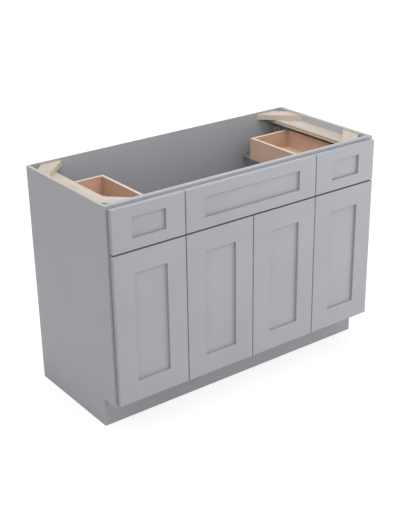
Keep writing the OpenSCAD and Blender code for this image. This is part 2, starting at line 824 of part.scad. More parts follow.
module drawer_box_front(side) placed() color(raw_birch) difference() {
    in_box(side) difference() {
        cube([box_w, box_t, box_h]);
        side_boards();
        bottom_slot();
    }
    mirror([side, 0, 0]) drawer_front_screw_places() screw_way(box_t + short_screw_len);
}

// Notches in the back board let the slides pass through
notch_w = slide_w + 2 * slide_side_gap + 1;

module drawer_box_back(side) placed() color(raw_birch) in_box(side) difference() {
    translate([0, box_d - box_t, 0]) cube([box_w, box_t, box_h]);
    side_boards();
    bottom_slot();
    for (x = [box_t - 1, box_w - box_t + 1 - notch_w])
        translate([x, box_d - box_t - 1, -1]) cube([notch_w, box_t + 2, box_recess + 1]);
}

module drawer_box_bottom(side) placed() color(raw_birch) in_box(side) {
    reach = box_t - box_groove_d + bottom_float;
    translate([reach, reach, box_recess])
        cube([box_w - 2 * reach, box_d - 2 * reach, box_bottom_t]);
}

// Locking clips under the drawer bottom, beside the front end of each slide
module drawer_clips(side) placed() color(clip_plastic) in_box(side)
    for (flip = [0, 1]) translate([flip * box_w, 0, 0]) mirror([flip, 0, 0])
        translate([box_t + slide_side_gap + slide_w + clip_gap, box_t + slide_front_gap, 0]) difference() {
            cube([clip_w, clip_len, box_recess]);
            translate([clip_wall, clip_nose, -1])
                cube([clip_w - 2 * clip_wall, clip_len, box_recess - clip_wall + 1]);
        }

module left_slide_middle_members() slide_middle_members(1);
module right_slide_middle_members() slide_middle_members(0);
module left_drawer_front_stiles() drawer_front_stiles(1);
module left_drawer_front_rails() drawer_front_rails(1);
module left_drawer_front_panel() drawer_front_panel(1);
module left_drawer_box_sides() drawer_box_sides(1);
module left_drawer_box_front() drawer_box_front(1);
module left_drawer_box_back() drawer_box_back(1);
module left_drawer_box_bottom() drawer_box_bottom(1);
module left_drawer_slide_members() drawer_slide_members(1);
module left_drawer_clips() drawer_clips(1);
module left_drawer_screws() drawer_screws(1);
module right_drawer_front_stiles() drawer_front_stiles(0);
module right_drawer_front_rails() drawer_front_rails(0);
module right_drawer_front_panel() drawer_front_panel(0);
module right_drawer_box_sides() drawer_box_sides(0);
module right_drawer_box_front() drawer_box_front(0);
module right_drawer_box_back() drawer_box_back(0);
module right_drawer_box_bottom() drawer_box_bottom(0);
module right_drawer_slide_members() drawer_slide_members(0);
module right_drawer_clips() drawer_clips(0);
module right_drawer_screws() drawer_screws(0);
module door_1_stiles() door_stiles(0);
module door_1_rails() door_rails(0);
module door_1_panel() door_panel(0);
module door_1_hinge_cups() door_hinge_cups(0);
module door_2_stiles() door_stiles(1);
module door_2_rails() door_rails(1);
module door_2_panel() door_panel(1);
module door_2_hinge_cups() door_hinge_cups(1);
module door_3_stiles() door_stiles(2);
module door_3_rails() door_rails(2);
module door_3_panel() door_panel(2);
module door_3_hinge_cups() door_hinge_cups(2);
module door_4_stiles() door_stiles(3);
module door_4_rails() door_rails(3);
module door_4_panel() door_panel(3);
module door_4_hinge_cups() door_hinge_cups(3);

left_side_panel();
right_side_panel();
back_panel();
cabinet_floor();
toe_board();
frame_end_stiles();
frame_mullions();
frame_top_rail();
frame_middle_rails();
frame_bottom_rail();
corner_blocks();
kicker_boards();
false_front_stiles();
false_front_rails();
false_front_panel();
false_front_clips();
bumpers();
hinge_base_plates();
hinge_arms();
cabinet_screws();
slide_cabinet_members();
slide_rear_brackets();
left_slide_middle_members();
right_slide_middle_members();
left_drawer_front_stiles();
left_drawer_front_rails();
left_drawer_front_panel();
left_drawer_box_sides();
left_drawer_box_front();
left_drawer_box_back();
left_drawer_box_bottom();
left_drawer_slide_members();
left_drawer_clips();
left_drawer_screws();
right_drawer_front_stiles();
right_drawer_front_rails();
right_drawer_front_panel();
right_drawer_box_sides();
right_drawer_box_front();
right_drawer_box_back();
right_drawer_box_bottom();
right_drawer_slide_members();
right_drawer_clips();
right_drawer_screws();
door_1_stiles();
door_1_rails();
door_1_panel();
door_1_hinge_cups();
door_2_stiles();
door_2_rails();
door_2_panel();
door_2_hinge_cups();
door_3_stiles();
door_3_rails();
door_3_panel();
door_3_hinge_cups();
door_4_stiles();
door_4_rails();
door_4_panel();
door_4_hinge_cups();
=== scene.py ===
"""Vanity base cabinet, 1219 mm wide, with its top open: four shaker doors under two drawers and a fixed
front, in satin grey paint on a plywood case. Everything is in metres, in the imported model's own frame."""
import json
import math

import bmesh
import bpy
import numpy as np
from mathutils import Matrix, Vector


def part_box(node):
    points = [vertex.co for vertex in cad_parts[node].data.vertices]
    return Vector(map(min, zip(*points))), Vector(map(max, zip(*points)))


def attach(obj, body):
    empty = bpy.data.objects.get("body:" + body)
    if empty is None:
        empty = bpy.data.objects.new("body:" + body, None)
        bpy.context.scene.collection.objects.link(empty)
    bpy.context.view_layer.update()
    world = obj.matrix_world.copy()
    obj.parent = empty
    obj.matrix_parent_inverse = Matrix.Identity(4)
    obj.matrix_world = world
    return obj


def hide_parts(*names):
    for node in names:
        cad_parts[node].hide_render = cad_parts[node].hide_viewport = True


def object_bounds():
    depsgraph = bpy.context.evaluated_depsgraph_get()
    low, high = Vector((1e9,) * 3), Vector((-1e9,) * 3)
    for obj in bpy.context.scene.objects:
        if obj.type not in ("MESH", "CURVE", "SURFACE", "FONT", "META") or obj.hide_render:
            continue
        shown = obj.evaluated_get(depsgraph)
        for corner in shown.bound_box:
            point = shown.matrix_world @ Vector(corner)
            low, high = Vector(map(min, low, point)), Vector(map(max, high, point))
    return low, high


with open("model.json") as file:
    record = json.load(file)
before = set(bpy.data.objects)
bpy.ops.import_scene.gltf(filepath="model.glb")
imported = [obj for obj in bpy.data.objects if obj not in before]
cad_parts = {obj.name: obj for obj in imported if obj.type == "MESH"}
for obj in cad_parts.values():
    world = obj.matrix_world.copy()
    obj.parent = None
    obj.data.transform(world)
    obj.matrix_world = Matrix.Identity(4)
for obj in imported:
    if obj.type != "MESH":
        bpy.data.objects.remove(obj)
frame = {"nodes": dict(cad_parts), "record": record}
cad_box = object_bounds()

# The cabinet is seen from its front left and from above its rim, with a lens a good deal longer than
# normal. The camera's place and its slight roll come from the corners of the case and of the fronts.
look_from = (-2.221389, -2.974138, 2.084249)
look_azimuth = math.radians(-36.251)
look_elevation = math.radians(24.347)
look_roll = math.radians(-0.968)
look_back = np.array([
    math.sin(look_azimuth) * math.cos(look_elevation),
    -math.cos(look_azimuth) * math.cos(look_elevation),
    math.sin(look_elevation),
])
level_right = np.cross(-look_back, (0.0, 0.0, 1.0))
level_right /= np.linalg.norm(level_right)
level_up = np.cross(level_right, -look_back)
camera_axes = np.eye(4)
camera_axes[:3, 0] = math.cos(look_roll) * level_right + math.sin(look_roll) * level_up
camera_axes[:3, 1] = -math.sin(look_roll) * level_right + math.cos(look_roll) * level_up
camera_axes[:3, 2] = look_back
camera_axes[:3, 3] = look_from
camera = bpy.data.objects.new("camera", bpy.data.cameras.new("camera"))
camera.data.sensor_width = 36.0
camera.data.lens = 70.243
camera.data.clip_start = 0.05
camera.data.clip_end = 200.0
camera.matrix_world = Matrix(camera_axes.tolist())
bpy.context.scene.collection.objects.link(camera)
bpy.context.scene.camera = camera


# Materials are written as expressions: a Wire is one output of a node, and arithmetic on Wires adds
# Math nodes. A Finish is one material, with a single method that makes any other node.
class Wire:
    """One output of a node, which adds, subtracts, multiplies, divides and compares like a number."""

    def __init__(self, finish, socket):
        self.finish = finish
        self.socket = socket

    def maths(self, operation, first, second=0.0):
        return self.finish.node("ShaderNodeMath", {"operation": operation}, {0: first, 1: second})

    def __add__(self, other):
        return self.maths("ADD", self, other)

    def __sub__(self, other):
        return self.maths("SUBTRACT", self, other)

    def __mul__(self, other):
        return self.maths("MULTIPLY", self, other)

    def __truediv__(self, other):
        return self.maths("DIVIDE", self, other)

    def __gt__(self, other):
        return self.maths("GREATER_THAN", self, other)

    def __lt__(self, other):
        return self.maths("LESS_THAN", self, other)

    def __mod__(self, other):
        return self.maths("FLOORED_MODULO", self, other)

    def __abs__(self):
        return self.maths("ABSOLUTE", self)

    def ramp(self, low, high):
        """0 below low, 1 above high, and a smooth S between them."""
        settings = {"interpolation_type": "SMOOTHSTEP"}
        inputs = {"Value": self, "From Min": low, "From Max": high}
        return self.finish.node("ShaderNodeMapRange", settings, inputs)

    __radd__ = __add__
    __rmul__ = __mul__


class Finish:
    """One material of the cabinet, built round Blender's own Principled shader."""

    def __init__(self, name, **plain):
        self.material = bpy.data.materials.new(name)
        self.material.use_nodes = True
        self.tree = self.material.node_tree
        self.surface = self.tree.nodes["Principled BSDF"]
        self.set(**plain)

    def node(self, kind, settings=None, inputs=None, output=0):
        """A node of this kind: its settings first, then the values or links of its sockets."""
        made = self.tree.nodes.new(kind)
        for key, value in (settings or {}).items():
            setattr(made, key, value)
        for key, value in (inputs or {}).items():
            self.feed(made.inputs[key], value)
        return Wire(self, made.outputs[output])

    def feed(self, socket, value):
        if isinstance(value, Wire):
            self.tree.links.new(value.socket, socket)
        else:
            socket.default_value = value

    def set(self, **values):
        """Values or Wires for the surface's sockets, with _ for the space in a socket's name."""
        for key, value in values.items():
            self.feed(self.surface.inputs[key.replace("_", " ")], value)

    def place(self, x=1.0, y=1.0, z=1.0):
        """Object coordinates in metres, stretched along each axis."""
        point = self.node("ShaderNodeTexCoord", output="Object")
        return self.node("ShaderNodeMapping", None, {"Vector": point, "Scale": (x, y, z)})

    def along(self, axis):
        """The place on one axis, 0, 1 or 2, in metres."""
        return self.node("ShaderNodeSeparateXYZ", None, {0: self.place()}, axis)

    def facing(self, axis):
        """How far the surface faces along one axis, from -1 to 1, whatever the pose."""
        normal = self.node("ShaderNodeTexCoord", output="Normal")
        return self.node("ShaderNodeSeparateXYZ", None, {0: normal}, axis)

    def cloud(self, point, size, detail=2.0, rough=0.5, bend=0.0):
        """Noise from 0 to 1 with spots about 1 / size across, in the units of the point."""
        inputs = {"Vector": point, "Scale": size, "Detail": detail, "Roughness": rough, "Distortion": bend}
        return self.node("ShaderNodeTexNoise", None, inputs)

    def blend(self, mask, first, second):
        """The first colour where the mask is 0 and the second where it is 1."""
        return self.node("ShaderNodeMix", {"data_type": "RGBA"}, {0: mask, 6: first, 7: second}, 2)

    def relief(self, height, depth, strength=1.0):
        """A bump whose height runs from 0 to 1 over the depth in metres."""
        inputs = {"Height": height, "Distance": depth, "Strength": strength}
        self.set(Normal=self.node("ShaderNodeBump", None, inputs))


# The studio is a plain white floor that runs out of sight into a white backdrop, so only a faint shadow
# shows where the cabinet stands. The camera sees one sheet, and the light comes back off a duller one
# just under it. Neither is part of the object.
def sheet_grid(name, x, y, height):
    """A level sheet: the grid of all the x and y given, at one height."""
    across, deep = np.meshgrid(x, y)
    points = np.stack([across, deep, np.full_like(across, height)], -1).reshape(-1, 3)
    first = (np.arange(len(y) - 1)[:, None] * len(x) + np.arange(len(x) - 1)).reshape(-1)
    faces = np.stack([first, first + 1, first + len(x) + 1, first + len(x)], -1)
    mesh = bpy.data.meshes.new(name)
    mesh.from_pydata(points.tolist(), [], faces.tolist())
    sheet = bpy.data.objects.new(name, mesh)
    bpy.context.scene.collection.objects.link(sheet)
    return sheet


floor_reach = np.linspace(-60.0, 60.0, 5)
floor_spot_scale = 0.8
seen_floor_z = -0.0005
bounce_floor_z = -0.001
white_floor = sheet_grid("white_floor", floor_reach, floor_reach, seen_floor_z)
white_paint = Finish("white_floor_paint", Roughness=0.9, Specular_IOR_Level=0.1)
floor_dull = (0.28, 0.28, 0.28, 1.0)
floor_bright = (0.30, 0.30, 0.30, 1.0)
floor_tone = white_paint.cloud(white_paint.place(), floor_spot_scale)
white_paint.set(Base_Color=white_paint.blend(floor_tone, floor_dull, floor_bright))
white_paint.set(Emission_Color=(1.0, 1.0, 1.0, 1.0), Emission_Strength=0.78)
white_floor.data.materials.append(white_paint.material)
white_floor.visible_diffuse = False
white_floor.visible_glossy = False
white_floor.visible_shadow = False
bounce_floor = sheet_grid("bounce_floor", floor_reach, floor_reach, bounce_floor_z)
bounce_paint = Finish("bounce_floor_paint", Roughness=0.9, Specular_IOR_Level=0.1)
bounce_dull = (0.66, 0.66, 0.66, 1.0)
bounce_bright = (0.68, 0.68, 0.68, 1.0)
bounce_tone = bounce_paint.cloud(bounce_paint.place(), floor_spot_scale)
bounce_paint.set(Base_Color=bounce_paint.blend(bounce_tone, bounce_dull, bounce_bright))
bounce_floor.data.materials.append(bounce_paint.material)
bounce_floor.visible_camera = False

backdrop = bpy.data.worlds.new("backdrop")
backdrop.use_nodes = True
sky = backdrop.node_tree
background = sky.nodes["Background"]
background.inputs["Color"].default_value = (1.0, 1.0, 1.0, 1.0)
seen_or_felt = sky.nodes.new("ShaderNodeMapRange")
seen_or_felt.inputs["To Min"].default_value = 0.95
seen_or_felt.inputs["To Max"].default_value = 1.05
ray = sky.nodes.new("ShaderNodeLightPath")
sky.links.new(ray.outputs["Is Camera Ray"], seen_or_felt.inputs["Value"])
sky.links.new(seen_or_felt.outputs[0], background.inputs["Strength"])
bpy.context.scene.world = backdrop
bpy.context.scene.view_settings.view_transform = "Standard"


# Three soft lamps: one over the open top, one low on the right and one in front.
def softbox(name, place, target, watts, width, height):
    """A soft rectangular lamp at its place that faces its target."""
    made = bpy.data.objects.new(name, bpy.data.lights.new(name, "AREA"))
    made.data.energy = watts
    made.data.shape = "RECTANGLE"
    made.data.size = width
    made.data.size_y = height
    aim = (Vector(target) - Vector(place)).to_track_quat("-Z", "Y").to_matrix().to_4x4()
    made.matrix_world = Matrix.Translation(place) @ aim
    bpy.context.scene.collection.objects.link(made)


softbox("opening_glow", (0.0, 0.0, 2.4), (0.0, 0.001, 0.5), watts=24.0, width=1.15, height=0.5)
softbox("right_softbox", (1.9, -1.65, 0.45), (0.1, -0.2, 0.4), watts=10.5, width=1.2, height=0.8)
softbox("front_softbox", (-0.3, -1.9, 2.1), (-0.2, -0.2, 0.7), watts=9.0, width=1.6, height=0.8)


# Satin grey paint, sprayed over the case, the face frame and the fronts. It has a faint cloudiness, a fine
# orange peel, painted shade that darkens the faces looking up along the top edges, and bare board on the
# panels' top edges.
def grey_paint(name, shade_above, bare_above=None, across=0, low=0.0, high=0.0, bare_wood=None):
    """The paint. Faces that look up above the first height given are darkened with painted shade, standing
    in for shade on the top edges and in the gaps between the fronts. Above bare_above the surface is the
    bare wood, in five plies from low to high across the given axis."""
    paint = Finish(name, Specular_IOR_Level=0.35)
    cloud = paint.cloud(paint.place(), 4.0, 3.0)
    fleck = paint.cloud(paint.place(), 140.0, 2.0)
    peel = paint.cloud(paint.place(), 900.0, 1.0)
    tone = paint.blend(cloud.ramp(0.3, 0.7), paint_shade, paint_light)
    tone = paint.blend(fleck.ramp(0.62, 0.8) * 0.25, tone, paint_fleck)
    # Painted shade: faces that look up near the top are mixed towards a darker grey that stands in for
    # shade.
    top_shade_mask = paint.facing(2).ramp(0.4, 0.9) * (paint.along(2) > shade_above)
    tone = paint.blend(top_shade_mask, tone, paint_top_shade)
    gloss = 0.4 + 0.08 * cloud + 0.04 * fleck
    if bare_above is not None:
        bare = paint.along(2) > bare_above
        ply = (paint.along(across) - low) / ((high - low) / 5) % 2.0 > 1.0
        fibre = paint.cloud(paint.place(60.0, 60.0, 60.0), 14.0, 4.0)
        raw = paint.blend(ply, bare_wood[0], bare_wood[1])
        raw = paint.blend(fibre.ramp(0.35, 0.75) * 0.4, raw, bare_wood[2])
        tone = paint.blend(bare, tone, raw)
        gloss = gloss + bare * 0.3
    paint.set(Base_Color=tone, Roughness=gloss)
    paint.relief(peel, 0.00004, 0.5)
    return paint


paint_shade = (0.345, 0.350, 0.375, 1.0)
paint_light = (0.361, 0.366, 0.392, 1.0)
paint_fleck = (0.41, 0.415, 0.44, 1.0)
# The darker grey of the painted shade on the top edges.
paint_top_shade = (0.262, 0.266, 0.286, 1.0)
pale_plywood = ((0.385, 0.355, 0.32, 1.0), (0.315, 0.285, 0.25, 1.0), (0.265, 0.235, 0.20, 1.0))
dark_fibreboard = ((0.205, 0.192, 0.178, 1.0), (0.19, 0.178, 0.163, 1.0), (0.165, 0.153, 0.14, 1.0))


def body_of(node):
    """The name of the body that a CAD node belongs to."""
    bodies = frame["record"]["behaviour"]["bodies"]
    return next(body for body, members in bodies.items() if node in members)


def dressed(node, finish):
    """A CAD node whose shape is right as it is, in its finish."""
    mesh = frame["nodes"][node].data
    mesh.materials.clear()
    mesh.materials.append(finish.material)


def corners(mesh):
    """The mesh's corners as an array of rows x, y, z."""
    points = np.zeros(len(mesh.vertices) * 3)
    mesh.vertices.foreach_get("co", points)
    return points.reshape(-1, 3)


def solids(node):
    """The separate solids of a CAD node, as one label for each corner of its mesh. Corners at one place
    are made one, and then each label falls to the lowest among its triangle's until nothing changes."""
    mesh = frame["nodes"][node].data
    triangles = np.zeros(len(mesh.polygons) * 3, int)
    mesh.polygons.foreach_get("vertices", triangles)
    _, same = np.unique(np.round(corners(mesh), 6), axis=0, return_inverse=True)
    same = same.reshape(-1)
    triangles = same[triangles].reshape(-1, 3)
    label = np.arange(same.max() + 1)
    while True:
        lowest = label.copy()
        np.minimum.at(lowest, triangles.reshape(-1), np.repeat(label[triangles].min(1), 3))
        if (lowest == label).all():
            return label[same]
        label = lowest


def rounded(node, radius, finish, ending, wanted=None):
    """A copy of a CAD node with its arrises rounded to the radius. Its loose triangles are joined where
    corners meet and melted back into flat faces, so only real edges turn. `wanted` says by a solid's
    three sizes whether that solid is kept."""
    mesh = frame["nodes"][node].data.copy()
    mesh.name = node + ending
    points = corners(mesh)
    label = solids(node)
    gone = np.zeros(len(points), bool)
    for one in np.unique(label):
        size = np.ptp(points[label == one], axis=0)
        gone |= (label == one) & (wanted is not None and not wanted(size))
    melt = bmesh.new()
    melt.from_mesh(mesh)
    melt.verts.ensure_lookup_table()
    bmesh.ops.delete(melt, geom=[melt.verts[i] for i in np.flatnonzero(gone)], context="VERTS")
    bmesh.ops.remove_doubles(melt, verts=melt.verts, dist=1e-6)
    bmesh.ops.dissolve_limit(melt, angle_limit=math.radians(0.5), verts=melt.verts, edges=melt.edges)
    melt.to_mesh(mesh)
    melt.free()
    if "custom_normal" in mesh.attributes:
        mesh.attributes.remove(mesh.attributes["custom_normal"])
    mesh.shade_smooth()
    mesh.materials.clear()
    mesh.materials.append(finish.material)
    piece = bpy.data.objects.new(node + ending, mesh)
    bpy.context.scene.collection.objects.link(piece)
    turn = piece.modifiers.new("rounded_arrises", "BEVEL")
    turn.width = radius
    turn.segments = 2
    turn.limit_method = "ANGLE"
    turn.angle_limit = math.radians(32)
    turn.use_clamp_overlap = False
    turn.harden_normals = True
    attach(piece, body_of(node))
    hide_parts(node)
    return piece


# The case: plywood side panels housed in the face frame, a back of darker fibreboard, and a floor and a
# toe board dadoed and glued between the sides. All of it is sprayed grey except the upper edges.
board_arris = 0.0006
# Painted shade darkens the faces that look up within 4 mm of the rim.
top_shade_depth = 0.004
rim_z = cad_box[1].z
top_shade_z = rim_z - top_shade_depth
bare_z = rim_z - board_arris
for side in ("left", "right"):
    node = side + "_side_panel"
    low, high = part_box(node)
    plies = grey_paint(node + "_finish", top_shade_z, bare_z, 0, low.x, high.x, pale_plywood)
    rounded(node, board_arris, plies, "_painted")
low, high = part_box("back_panel")
back_paint = grey_paint("back_panel_finish", top_shade_z, bare_z, 1, low.y, high.y, dark_fibreboard)
dressed("back_panel", back_paint)
case_paint = grey_paint("case_paint", top_shade_z)
dressed("cabinet_floor", case_paint)
rounded("toe_board", board_arris, case_paint, "_painted")


# The face frame: solid wood stiles, rails and mullions, joined edge to edge and painted together, so
# that each joint shows only as a hairline.
frame_arris = 0.0004
for member in ("end_stiles", "mullions", "top_rail", "middle_rails", "bottom_rail"):
    rounded("frame_" + member, frame_arris, case_paint, "_painted")


# The fronts: four shaker doors, two drawer fronts and a fixed front, each a frame of two stiles and two
# rails round a flat panel that floats in a groove. Their arrises are eased in the solids already.
framed_fronts = [f"door_{number}" for number in range(1, 5)]
framed_fronts += ["left_drawer_front", "right_drawer_front", "false_front"]
for front in framed_fronts:
    front_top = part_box(front + "_stiles")[1].z
    # Painted shade darkens each front's top edge, down to 4 mm below its top.
    front_paint = grey_paint(front + "_paint", front_top - top_shade_depth)
    for part in ("_stiles", "_rails", "_panel"):
        dressed(front + part, front_paint)


# Corner blocks and kicker boards: bare sanded wood and plywood, glued and nailed into the top corners.
# They tie the panels to the face frame and take the screws of the top.
def bare_plywood(name, low, thickness, layers, stretch):
    """Bare level boards: long grain on their faces, and on their edges a few layers, light ones and
    dark ones in turn from below, with the short upright bands of cut grain."""
    wood = Finish(name, Specular_IOR_Level=0.2)
    grain = wood.cloud(wood.place(*stretch), 40.0, 5.0, 0.55, 0.4)
    pore = wood.cloud(wood.place(*stretch), 260.0, 2.0)
    band = wood.cloud(wood.place(1.0, 1.0, 0.08), 330.0, 3.0)
    face = wood.blend(grain.ramp(0.3, 0.72), ply_face_light, ply_face_dark)
    layer = (wood.along(2) - low) / (thickness / layers) % 2.0 > 1.0
    edge = wood.blend(layer, ply_edge_light, ply_edge_dark)
    edge = wood.blend(band.ramp(0.4, 0.75) * 0.4, edge, ply_edge_dark)
    on_edge = abs(wood.facing(2)) < 0.6
    wood.set(Base_Color=wood.blend(on_edge, face, edge), Roughness=0.62 + 0.15 * pore)
    wood.relief(pore * 0.6 + band * 0.4, 0.00012, 0.5)
    return wood


ply_face_light = (0.395, 0.355, 0.313, 1.0)
ply_face_dark = (0.325, 0.285, 0.245, 1.0)
ply_edge_light = (0.49, 0.42, 0.335, 1.0)
ply_edge_dark = (0.315, 0.265, 0.20, 1.0)
sawn_arris = 0.0005
grain_along_x = (0.12, 1.0, 1.0)
grain_along_y = (1.0, 0.12, 1.0)
low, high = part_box("corner_blocks")
block_wood = bare_plywood("corner_block_wood", low.z, high.z - low.z, 1, grain_along_x)
rounded("corner_blocks", sawn_arris, block_wood, "_bare")
low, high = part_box("kicker_boards")
kicker_wood = bare_plywood("kicker_board_plywood", low.z, high.z - low.z, 2, grain_along_y)
rounded("kicker_boards", sawn_arris, kicker_wood, "_bare")


# The drawer boxes: four clear-coated hardwood boards dovetailed at the corners, round a plywood
# bottom that slides in a groove.
def drawer_hardwood(name, grain_axis, rim, light, dark):
    """Hardwood with its grain along one axis: long streaks, short pores, end grain where the surface
    faces along the grain, and a paler sanded rim above the height given."""
    wood = Finish(name, Specular_IOR_Level=0.4)
    stretch = [1.0, 1.0, 1.0]
    stretch[grain_axis] = 0.06
    streak = wood.cloud(wood.place(*stretch), 26.0, 5.0, 0.6, 0.7)
    line = wood.cloud(wood.place(*stretch), 170.0, 3.0, 0.5, 0.3)
    pore = wood.cloud(wood.place(*stretch), 700.0, 1.0)
    tone = wood.blend(streak.ramp(0.3, 0.7), light, dark)
    tone = wood.blend(line.ramp(0.5, 0.8) * 0.45, tone, hardwood_vein)
    end = abs(wood.facing(grain_axis)) > 0.7
    tone = wood.blend(end * 0.75, tone, hardwood_end)
    top = wood.along(2) > rim
    tone = wood.blend(top * 0.9, tone, hardwood_rim)
    wood.set(Base_Color=tone, Roughness=0.38 + 0.12 * line + 0.12 * end + 0.1 * top)
    wood.relief(pore * 0.7 + line * 0.3, 0.00008, 0.4)
    return wood


hardwood_light = (0.565, 0.383, 0.286, 1.0)
hardwood_dark = (0.50, 0.322, 0.232, 1.0)
hardwood_vein = (0.415, 0.255, 0.178, 1.0)
hardwood_end = (0.53, 0.335, 0.25, 1.0)
hardwood_rim = (0.43, 0.365, 0.305, 1.0)
bottom_light = (0.475, 0.335, 0.26, 1.0)
bottom_dark = (0.43, 0.295, 0.222, 1.0)
rim_depth = 0.0006
drawer_arris = 0.0003
for side in ("left_drawer", "right_drawer"):
    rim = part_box(side + "_box_sides")[1].z - rim_depth
    long_boards = drawer_hardwood(side + "_side_wood", 1, rim, hardwood_light, hardwood_dark)
    cross_boards = drawer_hardwood(side + "_end_wood", 0, rim, hardwood_light, hardwood_dark)
    rounded(side + "_box_sides", drawer_arris, long_boards, "_wood")
    rounded(side + "_box_front", drawer_arris, cross_boards, "_wood")
    rounded(side + "_box_back", drawer_arris, cross_boards, "_wood")
    bottom_sheet = drawer_hardwood(side + "_bottom_plywood", 0, rim, bottom_light, bottom_dark)
    dressed(side + "_box_bottom", bottom_sheet)


# The undermount slides: three roll-formed channels of zinc-plated steel on each side of a drawer. The
# outer one is screwed to the mullion or stile in front and to a bent bracket on the back panel.
def zinc_plate(name, stretch=(1.0, 1.0, 1.0)):
    """Bright zinc plate on steel: soft spangle, faint blue and straw tints, rolling lines along the
    strip."""
    zinc = Finish(name, Metallic=0.3)
    spangle = zinc.cloud(zinc.place(), 90.0, 2.0)
    tint = zinc.cloud(zinc.place(), 11.0, 2.0)
    rolled = zinc.cloud(zinc.place(*stretch), 1400.0, 1.0)
    tone = zinc.blend(tint.ramp(0.35, 0.65), zinc_blue, zinc_straw)
    tone = zinc.blend(spangle.ramp(0.4, 0.75) * 0.5, tone, zinc_dull)
    zinc.set(Base_Color=tone, Roughness=0.4 + 0.16 * spangle)
    zinc.relief(rolled, 0.00003, 0.4)
    return zinc


zinc_blue = (0.40, 0.415, 0.445, 1.0)
zinc_straw = (0.45, 0.445, 0.425, 1.0)
zinc_dull = (0.33, 0.34, 0.355, 1.0)
sheet_arris = 0.0003
rolled_along_y = (1.0, 0.03, 1.0)
slide_zinc = zinc_plate("slide_zinc", rolled_along_y)
rounded("slide_cabinet_members", sheet_arris, slide_zinc, "_zinc")
for side in ("left", "right"):
    rounded(side + "_slide_middle_members", sheet_arris, slide_zinc, "_zinc")
    rounded(side + "_drawer_slide_members", sheet_arris, slide_zinc, "_zinc")


# The rear brackets: bent zinc-plated plates on the back panel that carry the back ends of the slides.
# Their tall arms take a far lighter zinc, painted light where they stand in shade under the corner blocks.
# Below 0.75 m they take a grey close to the case paint. This is painted shade that sinks the low parts into
# the shadow on the back panel.
# Below this height the brackets are given painted shade.
bracket_shade_top = 0.75
# Painted light: the much lighter zinc of the tall arms.
bracket_painted_light_dull = (0.74, 0.74, 0.74, 1.0)
bracket_painted_light_bright = (0.84, 0.835, 0.82, 1.0)
# Painted shade: the grey of the brackets' low parts, near the shaded back panel's tone.
bracket_painted_shade = (0.32, 0.325, 0.342, 1.0)
bracket_zinc = Finish("bracket_zinc", Metallic=0.3)
bracket_spangle = bracket_zinc.cloud(bracket_zinc.place(), 90.0, 2.0)
bracket_line = bracket_zinc.cloud(bracket_zinc.place(1.0, 1.0, 0.03), 1400.0, 1.0)
bracket_tone = bracket_zinc.blend(bracket_spangle, bracket_painted_light_dull, bracket_painted_light_bright)
# Painted shade below the given height, painted light on the arms above it.
bracket_shade_mask = bracket_zinc.along(2) < bracket_shade_top
bracket_zinc.set(Base_Color=bracket_zinc.blend(bracket_shade_mask, bracket_tone, bracket_painted_shade))
bracket_zinc.set(Roughness=0.4 + 0.16 * bracket_spangle)
bracket_zinc.relief(bracket_line, 0.00003, 0.4)
rounded("slide_rear_brackets", sheet_arris, bracket_zinc, "_zinc")


# The locking clips under the front of each drawer box, moulded in dark plastic and screwed to its
# bottom. The false front hangs on four bent steel clips.
clip_plastic = Finish("clip_plastic", Specular_IOR_Level=0.45)
clip_grain = clip_plastic.cloud(clip_plastic.place(), 1600.0, 2.0)
clip_haze = clip_plastic.cloud(clip_plastic.place(), 60.0, 2.0)
clip_dark = (0.045, 0.046, 0.05, 1.0)
clip_light = (0.065, 0.066, 0.07, 1.0)
clip_plastic.set(Base_Color=clip_plastic.blend(clip_haze, clip_dark, clip_light))
clip_plastic.set(Roughness=0.42 + 0.15 * clip_grain)
clip_plastic.relief(clip_grain, 0.00005, 0.6)
moulded_arris = 0.0006
for side in ("left", "right"):
    rounded(side + "_drawer_clips", moulded_arris, clip_plastic, "_moulded")
rounded("false_front_clips", sheet_arris, slide_zinc, "_zinc")


# The hinges: a pressed steel cup let into each door's stile, with a pin that turns in the eye of a
# gooseneck arm, and a base plate screwed to the face frame.
hinge_nickel = Finish("hinge_nickel", Metallic=1.0)
nickel_haze = hinge_nickel.cloud(hinge_nickel.place(), 70.0, 3.0)
nickel_line = hinge_nickel.cloud(hinge_nickel.place(1.0, 1.0, 0.05), 900.0, 2.0)
nickel_bright = (0.66, 0.64, 0.61, 1.0)
nickel_dull = (0.56, 0.55, 0.53, 1.0)
hinge_nickel.set(Base_Color=hinge_nickel.blend(nickel_haze, nickel_bright, nickel_dull))
hinge_nickel.set(Roughness=0.2 + 0.14 * nickel_haze)
hinge_nickel.relief(nickel_line, 0.00002, 0.4)
rounded("hinge_base_plates", sheet_arris, hinge_nickel, "_nickel")
rounded("hinge_arms", sheet_arris, hinge_nickel, "_nickel")
cup_screw_least, cup_screw_most = 0.0055, 0.0065


def no_screw(size):
    """A screw of a hinge cup is about 6 mm across, and the cup and its pin aren't."""
    return not (np.sort(size)[0] > cup_screw_least and np.sort(size)[1] < cup_screw_most)


pressed_arris = 0.0002
for number in range(1, 5):
    cups = f"door_{number}_hinge_cups"
    rounded(cups, pressed_arris, hinge_nickel, "_nickel", no_screw)


